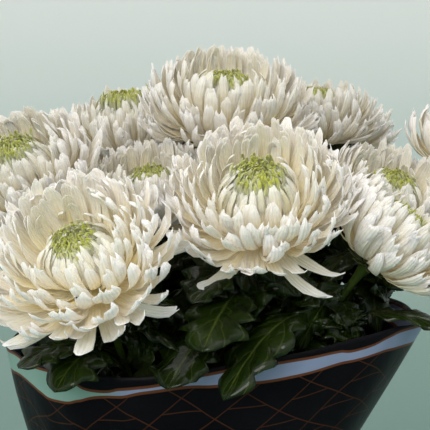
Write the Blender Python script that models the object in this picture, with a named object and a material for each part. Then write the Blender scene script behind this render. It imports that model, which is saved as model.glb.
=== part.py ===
"""White incurved chrysanthemums, tied in a bunch, wrapped in a printed film sleeve and stood in a clear glass
jar of water. Metres, +Z up, the front faces -Y, and the origin is the middle of the jar's foot."""

import math
from collections import namedtuple

import bmesh
import bpy
from mathutils import Matrix, Vector

GAP = 0.0003
UP = Vector((0, 0, 1))

# The jar, turned about Z.
JAR_RADIUS = 0.060
JAR_WALL = 0.0035
JAR_BASE = 0.007
HEEL_RADIUS = 0.008
SHOULDER_LOW = 0.146
SHOULDER_HIGH = 0.170
NECK_RADIUS = 0.0495
LIP_HEIGHT = 0.187
LIP_RADIUS = 0.0045
JAR_SEGMENTS = 32
WATER_LEVEL = 0.125

# The bunch where the rubber band ties it, and its feet on the jar's floor.
TIE_HEIGHT = 0.205
TIE_WIDTH = 0.005
TIE_THICKNESS = 0.002
STEM_RADIUS = 0.0035
TIE_RINGS = {"middle": 0.0, "inner": 0.0082, "outer": 0.0160}
FOOT_RINGS = {"middle": 0.0, "inner": 0.0200, "outer": 0.0400}

# The film sleeve, from the jar's neck to its wide mouth: the reach on each side, and the tilt of the rim.
SLEEVE_FOOT = 0.150
SLEEVE_NECK = 0.205
SLEEVE_RIM = 0.428
SLEEVE_FOOT_RADIUS = 0.038
SLEEVE_NECK_RADIUS = 0.045
SLEEVE_REACH = {"right": 0.180, "back": 0.150, "left": 0.135, "front": 0.118}
SLEEVE_BULGE = {"right": 0.05, "back": 0.20, "left": 0.45, "front": 0.30}
SLEEVE_SQUARENESS = 2.5
RIM_TILT = 0.05
FILM = 0.0007
SLEEVE_SEGMENTS = 36

# A flower head, for a head of unit radius; the calyx top is the head's foot.
HEAD_MIDDLE = 0.50
PETAL_SPREAD = 0.92
PETAL_PROFILE = (
    (0.17, 0.00), (0.50, -0.03), (0.83, 0.03), (1.00, 0.30), (1.00, 0.53), (0.90, 0.80), (0.77, 0.93),
    (0.67, 0.83), (0.55, 0.62), (0.48, 0.40), (0.37, 0.22),
)
BOWL_FLOOR = 0.17
HEART_WIDTH = 0.42
HEART_HEIGHT = 0.315
HEAD_SEGMENTS = 14
CALYX_RADIUS = 0.0085
CALYX_LENGTH = 0.013
STEM_SIDES = 8
LOWER_STEPS = 4
UPPER_STEPS = 6

Flower = namedtuple("Flower", "centre axis radius ring angle handle")
FLOWERS = (
    Flower((-0.064, -0.147, 0.517), (-0.20, -0.62, 0.76), 0.060, "outer", -112, 0.10),
    Flower((0.052, -0.092, 0.546), (-0.05, -0.56, 0.83), 0.060, "outer", -65, 0.10),
    Flower((0.147, -0.067, 0.513), (0.60, -0.12, 0.78), 0.051, "outer", -20, 0.07),
    Flower((-0.119, -0.039, 0.559), (-0.25, -0.45, 0.85), 0.059, "outer", 195, 0.10),
    Flower((-0.052, 0.111, 0.577), (-0.12, -0.15, 0.97), 0.055, "inner", 118, 0.10),
    Flower((0.031, 0.042, 0.603), (0.05, -0.28, 0.95), 0.059, "middle", 0, 0.12),
    Flower((0.145, 0.200, 0.572), (0.28, 0.25, 0.92), 0.048, "outer", 58, 0.06),
    Flower((0.160, 0.034, 0.523), (0.20, -0.30, 0.93), 0.052, "inner", 5, 0.08),
    Flower((0.238, 0.100, 0.557), (0.45, 0.00, 0.90), 0.054, "outer", 20, 0.06),
    Flower((-0.025, -0.016, 0.535), (-0.05, -0.30, 0.95), 0.042, "inner", 245, 0.10),
    Flower((0.106, 0.111, 0.588), (0.05, -0.06, 0.99), 0.051, "inner", 62, 0.10),
    Flower((-0.122, 0.182, 0.563), (-0.25, 0.10, 0.95), 0.047, "outer", 128, 0.08),
    Flower((-0.012, 0.203, 0.575), (0.00, 0.20, 0.96), 0.047, "outer", 100, 0.08),
)

# Each leaf: the flower whose stem carries it, the height on that stem, the tip, the arch, the width, and the
# share of its length that is stalk.
Leaf = namedtuple("Leaf", "flower height tip arch width stalk")
LEAVES = (
    Leaf(3, 0.452, (0.030, -0.146, 0.418), 0.022, 0.046, 0.20),
    Leaf(2, 0.475, (0.012, -0.150, 0.452), 0.010, 0.050, 0.30),
    Leaf(1, 0.432, (-0.104, -0.146, 0.440), 0.012, 0.036, 0.25),
    Leaf(1, 0.415, (-0.078, -0.148, 0.424), 0.022, 0.046, 0.30),
    Leaf(2, 0.440, (-0.010, -0.146, 0.426), 0.018, 0.044, 0.45),
    Leaf(3, 0.448, (0.194, -0.080, 0.446), 0.010, 0.036, 0.25),
    Leaf(9, 0.440, (0.215, 0.010, 0.440), 0.020, 0.046, 0.20),
    Leaf(9, 0.470, (0.262, 0.120, 0.480), 0.014, 0.042, 0.20),
    Leaf(7, 0.440, (0.185, 0.145, 0.432), 0.018, 0.044, 0.20),
    Leaf(7, 0.470, (0.110, 0.215, 0.455), 0.016, 0.044, 0.20),
    Leaf(13, 0.440, (0.060, 0.205, 0.428), 0.024, 0.046, 0.20),
    Leaf(13, 0.470, (-0.020, 0.215, 0.465), 0.016, 0.042, 0.20),
    Leaf(12, 0.440, (-0.105, 0.175, 0.432), 0.018, 0.046, 0.20),
    Leaf(12, 0.465, (-0.175, 0.120, 0.460), 0.014, 0.042, 0.20),
    Leaf(4, 0.440, (-0.160, 0.020, 0.426), 0.022, 0.046, 0.20),
    Leaf(4, 0.475, (-0.150, -0.100, 0.455), 0.012, 0.044, 0.20),
    Leaf(2, 0.492, (0.006, -0.120, 0.476), 0.006, 0.030, 0.25),
)
LEAF_THICKNESS = 0.0010
LEAF_OUTLINE = (0.07, 0.34, 0.86, 0.72, 1.00, 0.64, 0.56, 0.10)


def clear_scene():
    for obj in list(bpy.data.objects):
        bpy.data.objects.remove(obj, do_unlink=True)


def material(name, colour, roughness, alpha=1.0, transmission=0.0):
    made = bpy.data.materials.new(name)
    made.use_nodes = True
    shader = made.node_tree.nodes["Principled BSDF"]
    shader.inputs["Base Color"].default_value = (*colour, 1)
    shader.inputs["Roughness"].default_value = roughness
    shader.inputs["Metallic"].default_value = 0.0
    shader.inputs["Alpha"].default_value = alpha
    shader.inputs["Transmission Weight"].default_value = transmission
    return made


def new_object(name, mesh_maker, finish):
    """An object whose mesh is what mesh_maker puts into an empty bmesh."""
    bm = bmesh.new()
    mesh_maker(bm)
    bmesh.ops.remove_doubles(bm, verts=bm.verts, dist=1e-6)
    bmesh.ops.recalc_face_normals(bm, faces=bm.faces)
    mesh = bpy.data.meshes.new(name)
    bm.to_mesh(mesh)
    bm.free()
    mesh.shade_smooth()
    mesh.set_sharp_from_angle(angle=math.radians(35))
    obj = bpy.data.objects.new(name, mesh)
    bpy.context.collection.objects.link(obj)
    obj.data.materials.append(finish)
    return obj


def arc(centre, radius, start, end, steps):
    """Points (radius, height) on an arc of the turned profile; the angles are in degrees from +X."""
    points = []
    for step in range(steps + 1):
        angle = math.radians(start + (end - start) * step / steps)
        points.append((centre[0] + radius * math.cos(angle), centre[1] + radius * math.sin(angle)))
    return points


def shoulder(inset, steps=5):
    """The jar's smooth shoulder from the body to the neck, inset from the outside by a wall."""
    points = []
    for step in range(steps + 1):
        t = step / steps
        ease = t * t * (3 - 2 * t)
        radius = JAR_RADIUS + (NECK_RADIUS - JAR_RADIUS) * ease - inset
        points.append((radius, SHOULDER_LOW + (SHOULDER_HIGH - SHOULDER_LOW) * t))
    return points


def ring(bm, points):
    return [bm.verts.new(point) for point in points]


def join_rings(bm, rings, closed=False):
    """Quads between each ring and the next."""
    pairs = list(zip(rings, rings[1:]))
    if closed:
        pairs.append((rings[-1], rings[0]))
    for low, high in pairs:
        for i in range(len(low)):
            j = (i + 1) % len(low)
            bm.faces.new((low[i], low[j], high[j], high[i]))


def turned(bm, profile, segments, frame=None):
    """A solid turned about Z from (radius, height) points, whose two ends lie on the axis."""
    place = frame or Matrix.Identity(4)
    rings = []
    for radius, height in profile[1:-1]:
        points = []
        for i in range(segments):
            angle = 2 * math.pi * i / segments
            points.append(place @ Vector((radius * math.cos(angle), radius * math.sin(angle), height)))
        rings.append(ring(bm, points))
    join_rings(bm, rings)
    for end, loop in ((profile[0], rings[0]), (profile[-1], rings[-1])):
        pole = bm.verts.new(place @ Vector((0, 0, end[1])))
        for i in range(segments):
            bm.faces.new((pole, loop[i], loop[(i + 1) % segments]))


def jar_profile():
    inner_neck = NECK_RADIUS - JAR_WALL
    inner_heel = HEEL_RADIUS - JAR_WALL
    lip_centre = (NECK_RADIUS, LIP_HEIGHT)
    outside = arc((JAR_RADIUS - HEEL_RADIUS, HEEL_RADIUS), HEEL_RADIUS, -90, 0, 4)
    lip = arc(lip_centre, LIP_RADIUS, -60, 180, 8)
    floor_corner = (JAR_RADIUS - JAR_WALL - inner_heel, JAR_BASE + inner_heel)
    inside = [(inner_neck, LIP_HEIGHT - LIP_RADIUS)] + list(reversed(shoulder(JAR_WALL)))
    floor = arc(floor_corner, inner_heel, 0, -90, 3)
    return [(0, 0)] + outside + shoulder(0) + lip + inside + floor + [(0, JAR_BASE)]


def make_jar(finish):
    return new_object("jar", lambda bm: turned(bm, jar_profile(), JAR_SEGMENTS), finish)


def bezier(points, t):
    """A point on the cubic Bezier curve through four control points."""
    a, b, c, d = points
    s = 1 - t
    return a * s**3 + b * (3 * s * s * t) + c * (3 * s * t * t) + d * t**3


def polar(radius, angle, height):
    turn = math.radians(angle)
    return Vector((radius * math.cos(turn), radius * math.sin(turn), height))


def head_axis(flower):
    return Vector(flower.axis).normalized()


def calyx_top(flower):
    """The head's foot, where the petals sit on the calyx."""
    return Vector(flower.centre) - head_axis(flower) * (HEAD_MIDDLE * flower.radius)


def stem_path(flower):
    """Points up the middle of the stem, from its cut foot on the jar's floor to the calyx."""
    foot = polar(FOOT_RINGS[flower.ring], flower.angle, JAR_BASE + GAP)
    tie = polar(TIE_RINGS[flower.ring], flower.angle, TIE_HEIGHT)
    under = tie - UP * TIE_WIDTH
    over = tie + UP * TIE_WIDTH
    seat = calyx_top(flower) - head_axis(flower) * CALYX_LENGTH
    below = (foot, foot + UP * 0.06, under - UP * 0.07, under)
    above = (over, over + UP * 0.07, seat - head_axis(flower) * flower.handle, seat)
    lower = [bezier(below, step / LOWER_STEPS) for step in range(LOWER_STEPS + 1)]
    upper = [bezier(above, step / UPPER_STEPS) for step in range(UPPER_STEPS + 1)]
    return lower + upper


def stem_rings(flower):
    """(centre, direction, radius) of each ring of the stem and of the calyx on top of it."""
    path = stem_path(flower)
    axis = head_axis(flower)
    rings = []
    for i, point in enumerate(path):
        before = path[max(i - 1, 0)]
        after = path[min(i + 1, len(path) - 1)]
        direction = (after - before).normalized()
        if i == 0:
            direction = UP
        if i == len(path) - 1:
            direction = axis
        narrowing = max(0, i - LOWER_STEPS) / (len(path) - 1 - LOWER_STEPS)
        rings.append((point, direction, STEM_RADIUS * (1 - 0.25 * narrowing)))
    top = calyx_top(flower)
    rings.append((top - axis * (0.45 * CALYX_LENGTH), axis, 0.70 * CALYX_RADIUS))
    rings.append((top, axis, CALYX_RADIUS))
    return rings


def tube(bm, rings, sides):
    """A closed tube through (centre, direction, radius) rings, with flat ends."""
    made = []
    side = Vector((1, 0, 0))
    for centre, direction, radius in rings:
        across = (side - direction * side.dot(direction)).normalized()
        along = direction.cross(across)
        points = []
        for i in range(sides):
            angle = 2 * math.pi * i / sides
            points.append(centre + (across * math.cos(angle) + along * math.sin(angle)) * radius)
        made.append(ring(bm, points))
    join_rings(bm, made)
    bm.faces.new(list(reversed(made[0])))
    bm.faces.new(made[-1])


def make_stem(name, flower, finish):
    return new_object(name, lambda bm: tube(bm, stem_rings(flower), STEM_SIDES), finish)


def make_stem_holes():
    """A cutter round the lower ends of all the stems, wider than them by the gap."""

    def holes(bm):
        for flower in FLOWERS:
            rings = []
            for centre, direction, radius in stem_rings(flower)[: LOWER_STEPS + 1]:
                rings.append((centre, direction, radius + GAP))
            foot, direction, radius = rings[0]
            rings[0] = (foot - UP * (JAR_BASE / 2), direction, radius)
            tube(bm, rings, STEM_SIDES)

    cutter = new_object("stem_holes", holes, None)
    cutter.hide_render = True
    cutter.display_type = "WIRE"
    return cutter


def water_profile():
    radius = JAR_RADIUS - JAR_WALL - GAP
    heel = HEEL_RADIUS - JAR_WALL
    floor = JAR_BASE + GAP
    corner = (radius - heel, floor + heel)
    return [(0, floor)] + arc(corner, heel, -90, 0, 3) + [(radius, WATER_LEVEL), (0, WATER_LEVEL)]


def make_water(finish):
    """The water, with a hole round each stem that stands in it."""
    water = new_object("water", lambda bm: turned(bm, water_profile(), JAR_SEGMENTS), finish)
    cut = water.modifiers.new("stem holes", "BOOLEAN")
    cut.operation = "DIFFERENCE"
    cut.solver = "EXACT"
    cut.object = make_stem_holes()
    return water


def make_tie(finish):
    """The rubber band round the stems, a ring of rectangular section."""
    inner = TIE_RINGS["outer"] + STEM_RADIUS + GAP
    outer = inner + TIE_THICKNESS
    low = TIE_HEIGHT - TIE_WIDTH / 2
    high = TIE_HEIGHT + TIE_WIDTH / 2

    def band(bm):
        loops = []
        for radius, height in ((inner, low), (outer, low), (outer, high), (inner, high)):
            points = [polar(radius, 360 * i / 24, height) for i in range(24)]
            loops.append(ring(bm, points))
        join_rings(bm, loops, closed=True)

    return new_object("stem_tie", band, finish)


def sleeve_reach(side, t):
    """How far the film stands from the middle on one side, from the neck, t = 0, to the rim, t = 1."""
    spread = SLEEVE_REACH[side] - SLEEVE_NECK_RADIUS
    return SLEEVE_NECK_RADIUS + spread * (t + SLEEVE_BULGE[side] * t * (1 - t))


def sleeve_ring(height, reach):
    """A ring whose four quarters reach as far as the four sides say, round at the neck and squarer at the rim."""
    t = max(0, (height - SLEEVE_NECK) / (SLEEVE_RIM - SLEEVE_NECK))
    power = 2 / (2 + (SLEEVE_SQUARENESS - 2) * t)
    points = []
    for i in range(SLEEVE_SEGMENTS):
        angle = 2 * math.pi * i / SLEEVE_SEGMENTS
        across = math.copysign(abs(math.cos(angle)) ** power, math.cos(angle))
        along = math.copysign(abs(math.sin(angle)) ** power, math.sin(angle))
        x = across * (reach["right"] if across > 0 else reach["left"])
        y = along * (reach["back"] if along > 0 else reach["front"])
        points.append((x, y, height + RIM_TILT * t * x))
    return points


def make_sleeve(finish):
    """The film cone, open at both ends, given its thickness inwards."""

    def film(bm):
        rings = []
        for height, radius in ((SLEEVE_FOOT, SLEEVE_FOOT_RADIUS), (0.180, 0.0410)):
            rings.append(ring(bm, sleeve_ring(height, dict.fromkeys(SLEEVE_REACH, radius))))
        for step in range(7):
            t = step / 6
            height = SLEEVE_NECK + (SLEEVE_RIM - SLEEVE_NECK) * t
            reach = {side: sleeve_reach(side, t) for side in SLEEVE_REACH}
            rings.append(ring(bm, sleeve_ring(height, reach)))
        join_rings(bm, rings)

    sleeve = new_object("sleeve", film, finish)
    wall = sleeve.modifiers.new("film thickness", "SOLIDIFY")
    wall.thickness = FILM
    wall.offset = -1
    return sleeve


def head_frame(flower):
    """The place of a head: its foot on the calyx, its +Z up the head's axis."""
    turn = head_axis(flower).to_track_quat("Z", "Y").to_matrix().to_4x4()
    return Matrix.Translation(calyx_top(flower)) @ turn


def make_petals(name, flower, finish):
    """The outer florets as one bowl, hollow where the heart sits."""
    size = flower.radius * PETAL_SPREAD
    profile = [(0, GAP)]
    for radius, height in PETAL_PROFILE:
        profile.append((radius * size, height * size + GAP))
    profile.append((0, BOWL_FLOOR * size + GAP))
    frame = head_frame(flower)
    return new_object(name, lambda bm: turned(bm, profile, HEAD_SEGMENTS, frame), finish)


def make_heart(name, flower, finish):
    """The inner florets, closed over the green middle, as one low ball in the bowl."""
    size = flower.radius * PETAL_SPREAD
    half = HEART_HEIGHT * size
    middle = BOWL_FLOOR * size + half + 3 * GAP
    profile = []
    for step in range(7):
        angle = math.pi * step / 6 - math.pi / 2
        profile.append((HEART_WIDTH * size * math.cos(angle), middle + half * math.sin(angle)))
    frame = head_frame(flower)
    return new_object(name, lambda bm: turned(bm, profile, HEAD_SEGMENTS - 2, frame), finish)


def stem_at(flower, height):
    """The middle of the stem at a height."""
    path = stem_path(flower)
    for low, high in zip(path, path[1:]):
        if low.z <= height <= high.z:
            return low.lerp(high, (height - low.z) / (high.z - low.z))
    return path[-1]


def leaf_rows(stalk):
    """(place along the leaf, share of its width) of each row: a thin stalk, then the blade's lobes."""
    rows = [(0, LEAF_OUTLINE[0])]
    last = len(LEAF_OUTLINE) - 1
    for step, outline in enumerate(LEAF_OUTLINE):
        rows.append((stalk + (1 - stalk) * step / last, outline))
    return rows


def make_leaf(name, leaf, finish):
    """A lobed blade on a short stalk, arching from the stem to its tip."""
    base = stem_at(FLOWERS[leaf.flower - 1], leaf.height)
    tip = Vector(leaf.tip)
    heading = Vector((tip.x - base.x, tip.y - base.y, 0)).normalized()
    base = base + heading * (STEM_RADIUS + 5 * GAP)
    crown = base.lerp(tip, 0.5) + UP * (2 * leaf.arch)
    across = heading.cross(UP)

    def blade(bm):
        rows = []
        for t, outline in leaf_rows(leaf.stalk):
            middle = base.lerp(crown, t).lerp(crown.lerp(tip, t), t)
            half = outline * leaf.width / 2
            sag = UP * (0.15 * half)
            points = [middle - across * half - sag, middle, middle + across * half - sag]
            rows.append(ring(bm, points))
        for low, high in zip(rows, rows[1:]):
            for i in (0, 1):
                bm.faces.new((low[i], low[i + 1], high[i + 1], high[i]))

    obj = new_object(name, blade, finish)
    wall = obj.modifiers.new("blade thickness", "SOLIDIFY")
    wall.thickness = LEAF_THICKNESS
    wall.offset = 0
    return obj


def build():
    clear_scene()
    make_jar(material("clear glass", (0.90, 0.95, 0.94), 0.05, transmission=1.0))
    make_water(material("water", (0.80, 0.90, 0.90), 0.02, alpha=0.4, transmission=1.0))
    make_tie(material("rubber", (0.45, 0.28, 0.12), 0.70))
    make_sleeve(material("printed film", (0.010, 0.010, 0.014), 0.25))
    stem_finish = material("stem green", (0.10, 0.20, 0.04), 0.55)
    petal_finish = material("white petals", (0.80, 0.77, 0.72), 0.60)
    heart_finish = material("green heart", (0.60, 0.65, 0.30), 0.60)
    leaf_finish = material("leaf green", (0.012, 0.035, 0.010), 0.40)
    for number, flower in enumerate(FLOWERS, 1):
        make_stem(f"flower_{number:02d}_stem", flower, stem_finish)
        make_petals(f"flower_{number:02d}_petals", flower, petal_finish)
        make_heart(f"flower_{number:02d}_heart", flower, heart_finish)
    for number, leaf in enumerate(LEAVES, 1):
        make_leaf(f"leaf_{number:02d}", leaf, leaf_finish)


build()
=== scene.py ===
# %% [markdown]
# # White chrysanthemums in a film sleeve and a glass jar
#
# A florist's bunch: large white incurved chrysanthemums with green hearts and dark lobed leaves, tied with a
# rubber band, wrapped in a cone of dark printed film and stood in a clear glass jar of water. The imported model
# gives the place and size of every stem, head, leaf, film and glass. This lesson dresses each of them.

import math

import bmesh
import bpy
import numpy as np
from mathutils import Matrix, Vector
from mathutils.bvhtree import BVHTree


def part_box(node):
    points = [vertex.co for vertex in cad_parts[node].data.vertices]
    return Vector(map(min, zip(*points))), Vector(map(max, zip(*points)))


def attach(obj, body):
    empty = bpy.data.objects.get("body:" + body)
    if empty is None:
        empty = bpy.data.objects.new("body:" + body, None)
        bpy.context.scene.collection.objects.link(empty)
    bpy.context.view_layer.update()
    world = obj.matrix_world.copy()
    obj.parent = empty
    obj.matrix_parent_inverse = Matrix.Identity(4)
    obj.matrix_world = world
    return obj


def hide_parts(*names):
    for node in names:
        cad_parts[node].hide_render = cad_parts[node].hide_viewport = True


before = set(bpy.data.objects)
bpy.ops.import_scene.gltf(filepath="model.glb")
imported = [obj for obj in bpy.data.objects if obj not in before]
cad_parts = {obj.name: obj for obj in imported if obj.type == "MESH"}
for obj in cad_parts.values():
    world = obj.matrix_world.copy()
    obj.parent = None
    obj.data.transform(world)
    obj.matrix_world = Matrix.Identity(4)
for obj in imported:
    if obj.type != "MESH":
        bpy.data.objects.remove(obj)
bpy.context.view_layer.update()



def rounded(values):
    return tuple(round(float(value), 3) for value in values)


# %% [markdown]
# ## Camera, light and floor
#
# The bunch is seen from the front and a little above its rim, close to the flowers, with a long lens. The middle
# of the sleeve's box and its highest point place the camera, so it follows the frame if the bunch changes.

# %% Camera
CAMERA_BACK = 0.71
CAMERA_RISE = 0.210
CAMERA_PITCH = math.radians(9)
LENS = 92.6

sleeve_low, sleeve_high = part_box("sleeve")
camera_data = bpy.data.cameras.new("camera")
camera_data.lens = LENS
camera_data.sensor_width = 36
camera = bpy.data.objects.new("camera", camera_data)
camera.location = (
    (sleeve_low.x + sleeve_high.x) / 2,
    sleeve_low.y - CAMERA_BACK,
    sleeve_high.z + CAMERA_RISE,
)
camera.rotation_euler = (math.pi / 2 - CAMERA_PITCH, 0, 0)
bpy.context.scene.collection.objects.link(camera)
bpy.context.scene.camera = camera
print("camera at", rounded(camera.location))

# %% [markdown]
# The light is a studio's: one wide soft box at the front left, two much weaker ones above and behind on the
# right, and a pale surround that does most of the work. White petals need soft light, because a small hard lamp
# would print sharp shadows on them.

# %% Lights
BUNCH_TOP = Vector((0.04, 0.0, 0.54))


def soft_box(name, place, size, power, colour):
    """An area light that faces the flowers."""
    data = bpy.data.lights.new(name, "AREA")
    data.shape = "DISK"
    data.size = size
    data.energy = power
    data.color = colour
    lamp = bpy.data.objects.new(name, data)
    lamp.location = place
    lamp.rotation_euler = (BUNCH_TOP - Vector(place)).to_track_quat("-Z", "Y").to_euler()
    bpy.context.scene.collection.objects.link(lamp)


soft_box("soft_box_top", (-0.5, -0.2, 2.3), 1.6, 5, (1.0, 0.99, 0.98))
soft_box("soft_box_front", (-0.9, -2.2, 1.8), 1.6, 38, (1.0, 0.985, 0.97))
soft_box("soft_box_right", (1.7, 0.9, 1.7), 1.0, 4, (0.97, 0.98, 1.0))

world = bpy.data.worlds.new("surround")
world.use_nodes = True
surround = world.node_tree.nodes["Background"]
surround.inputs["Color"].default_value = (0.88, 0.87, 0.86, 1)
surround.inputs["Strength"].default_value = 1.40
bpy.context.scene.world = world
bpy.context.scene.view_settings.view_transform = "Standard"
print("lights: three soft boxes and a pale surround")

# %% [markdown]
# ## Shader building blocks
#
# Nodes and Finish below shorten the making of nodes: each method adds one or two and hands back an output. Most
# finishes share two effects, so each is a node group. *Mottle* mixes two colours by a soft noise, as grown and
# printed things are never one flat colour. *Grooves* gives the height of fine lines across a strip.

# %% Nodes in a tree
class Nodes:
    """A shader node tree. In each method a value is a number, a colour or another node's output."""

    def __init__(self, tree):
        self.tree = tree

    def put(self, socket, value):
        if isinstance(value, bpy.types.NodeSocket):
            self.tree.links.new(value, socket)
        elif socket.type == "RGBA":
            socket.default_value = (*value, 1)
        else:
            socket.default_value = value

    def add(self, kind, **values):
        """A shader node. A value is a setting of the node or, where there is none of that name, an input."""
        made = self.tree.nodes.new("ShaderNode" + kind)
        for name, value in values.items():
            if name in made.bl_rna.properties:
                setattr(made, name, value)
            else:
                self.put(made.inputs[name.replace("_", " ")], value)
        return made

    def math(self, operation, *numbers):
        made = self.add("Math", operation=operation)
        for socket, number in zip(made.inputs, numbers):
            self.put(socket, number)
        return made.outputs[0]

    def mix(self, factor, first, second, blend="MIX"):
        """The output of a colour Mix node."""
        made = self.add("Mix", data_type="RGBA", blend_type=blend)
        for place, value in ((0, factor), (6, first), (7, second)):
            self.put(made.inputs[place], value)
        return made.outputs[2]

    def ramp(self, factor, *stops):
        """A colour ramp through (place, colour or grey) stops."""
        made = self.add("ValToRGB")
        self.put(made.inputs[0], factor)
        elements = made.color_ramp.elements
        while len(elements) < len(stops):
            elements.new(0.5)
        for element, (place, colour) in zip(elements, stops):
            element.position = place
            element.color = (*colour, 1) if isinstance(colour, tuple) else (colour, colour, colour, 1)
        return made.outputs[0]

    def window(self, value, low, high):
        """A value's place between low and high, as 0 to 1."""
        return self.add("MapRange", Value=value, From_Min=low, From_Max=high).outputs[0]

    def noise(self, scale, detail, stretch=None, **values):
        """Soft noise in the piece's own coordinates, which stretch may squeeze."""
        place = self.add("TexCoord").outputs["Object"]
        if stretch:
            place = self.add("Mapping", Vector=place, Scale=stretch).outputs[0]
        return self.add("TexNoise", Vector=place, Scale=scale, Detail=detail, **values).outputs["Fac"]

    def apart(self, vector):
        return self.add("SeparateXYZ", Vector=vector).outputs

    def uv(self):
        """The two numbers of the piece's own UV map."""
        return self.apart(self.add("UVMap", uv_map="UVMap").outputs[0])[:2]

    def attribute(self, name):
        return self.add("Attribute", attribute_name=name).outputs["Fac"]

    def group(self, shared, **values):
        """The output of a shared group, placed in this tree."""
        made = self.tree.nodes.new("ShaderNodeGroup")
        made.node_tree = shared.tree
        for label, value in values.items():
            self.put(made.inputs[label], value)
        return made.outputs[0]


# %% A finish and a shared group
class Finish(Nodes):
    """A material. Its shader's inputs are set by name, with numbers, colours or outputs."""

    def __init__(self, name, **values):
        self.material = bpy.data.materials.new(name)
        self.material.use_nodes = True
        super().__init__(self.material.node_tree)
        self.set(**values)

    def set(self, **values):
        shader = self.tree.nodes["Principled BSDF"]
        for label, value in values.items():
            self.put(shader.inputs[label.replace("_", " ")], value)

    def bump(self, height, strength, distance):
        self.set(Normal=self.add("Bump", Strength=strength, Distance=distance, Height=height).outputs["Normal"])

    def mottled(self, first, second, scale, amount=1.0):
        """Two colours mixed by the shared mottle group."""
        return self.group(mottle, First=first, Second=second, Scale=scale, Amount=amount)


def new_group(name, inputs, output, output_type):
    """An empty group with number or colour inputs and one output: its nodes, and the sockets inside it."""
    tree = bpy.data.node_groups.new(name, "ShaderNodeTree")
    for label, value in inputs.items():
        kind = "NodeSocketColor" if isinstance(value, tuple) else "NodeSocketFloat"
        socket = tree.interface.new_socket(label, in_out="INPUT", socket_type=kind)
        socket.default_value = (*value, 1) if isinstance(value, tuple) else value
    tree.interface.new_socket(output, in_out="OUTPUT", socket_type=output_type)
    return Nodes(tree), tree.nodes.new("NodeGroupInput").outputs, tree.nodes.new("NodeGroupOutput").inputs[0]


# %% The two shared groups
mottle, mottle_in, mottle_out = new_group(
    "mottle", {"First": (0.5, 0.5, 0.5), "Second": (0.4, 0.4, 0.4), "Scale": 60.0, "Amount": 1.0},
    "Color", "NodeSocketColor",
)
mottle_ramp = mottle.ramp(mottle.noise(mottle_in["Scale"], 5.0, Roughness=0.6), (0.34, 0.0), (0.68, 1.0))
mottle_share = mottle.math("MULTIPLY", mottle_ramp, mottle_in["Amount"])
mottle.put(mottle_out, mottle.mix(mottle_share, mottle_in["First"], mottle_in["Second"]))

grooves, grooves_in, grooves_out = new_group(
    "grooves", {"Across": 0.5, "Count": 5.0}, "Height", "NodeSocketFloat",
)
groove_phase = grooves.math("MULTIPLY", grooves_in["Across"], grooves_in["Count"])
groove_wave = grooves.math("SINE", grooves.math("MULTIPLY", groove_phase, 2 * math.pi))
grooves.put(grooves_out, grooves.math("MULTIPLY_ADD", groove_wave, 0.5, 0.5))
print("groups:", mottle.tree.name, grooves.tree.name)

# %% [markdown]
# ## Floor
#
# A pale round sweep: level under the jar, and rising all round far away, so there is no corner and no end to see
# from any side. The colour of its paper holds painted shade, grey-green near the jar, and painted light, almost
# white at the wall.

# %% Floor
FLOOR_RADIUS = 3.9
SWEEP_RADIUS = 1.4
SWEEP_STEPS = 12
WALL_TOP = 2.6
FLOOR_SIDES = 96
WALL_CLIMB = 1.6
CLIMB_RANGE = 6.0
# Painted light and shade: the floor's colour runs from grey-green near the jar, as if in shade, to almost white up
# the wall, as if brightly lit.
FLOOR_PAINTED_FALLOFF = (
    (0.10, (0.115, 0.193, 0.169)), (0.27, (0.164, 0.256, 0.225)), (0.62, (0.43, 0.515, 0.48)),
    (0.88, (0.735, 0.76, 0.745)),
)

floor_look = Finish("pale_floor", Roughness=0.9)
floor_x, floor_y, floor_z = floor_look.apart(floor_look.add("TexCoord").outputs["Object"])
floor_squares = [floor_look.math("POWER", side, 2.0) for side in (floor_x, floor_y)]
floor_distance = floor_look.math("SQRT", floor_look.math("ADD", *floor_squares))
floor_climb = floor_look.math("ADD", floor_distance, floor_look.math("MULTIPLY", floor_z, WALL_CLIMB))
# The colour grows with distance and height: painted shade near the jar, painted light up the wall.
floor_look.set(Base_Color=floor_look.ramp(floor_look.math("DIVIDE", floor_climb, CLIMB_RANGE), *FLOOR_PAINTED_FALLOFF))


def sweep_profile():
    """(radius, z) points of the sweep, from the middle to the top of the wall."""
    points = [(0.0, 0.0), (FLOOR_RADIUS - SWEEP_RADIUS, 0.0)]
    for step in range(1, SWEEP_STEPS + 1):
        angle = math.pi / 2 * step / SWEEP_STEPS
        radius = FLOOR_RADIUS - SWEEP_RADIUS + SWEEP_RADIUS * math.sin(angle)
        points.append((radius, SWEEP_RADIUS * (1 - math.cos(angle))))
    return points + [(FLOOR_RADIUS, WALL_TOP)]


def turned(profile, sides):
    """A bmesh of a (radius, z) profile spun once round Z, its seam and poles closed."""
    bm = bmesh.new()
    line = [bm.verts.new((radius, 0, z)) for radius, z in profile]
    edges = [bm.edges.new(pair) for pair in zip(line, line[1:])]
    bmesh.ops.spin(
        bm, geom=line + edges, cent=(0, 0, 0), axis=(0, 0, 1), angle=2 * math.pi, steps=sides, use_merge=True
    )
    bmesh.ops.remove_doubles(bm, verts=bm.verts, dist=1e-6)
    bmesh.ops.recalc_face_normals(bm, faces=bm.faces)
    return bm


def finished_mesh(name, bm):
    """A smooth mesh made from a bmesh, which is freed."""
    mesh = bpy.data.meshes.new(name)
    bm.to_mesh(mesh)
    bm.free()
    mesh.shade_smooth()
    return mesh


floor = bpy.data.objects.new("floor", finished_mesh("floor", turned(sweep_profile(), FLOOR_SIDES)))
bpy.context.scene.collection.objects.link(floor)
floor.data.materials.append(floor_look.material)
print("floor:", len(floor.data.polygons), "faces")

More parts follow.
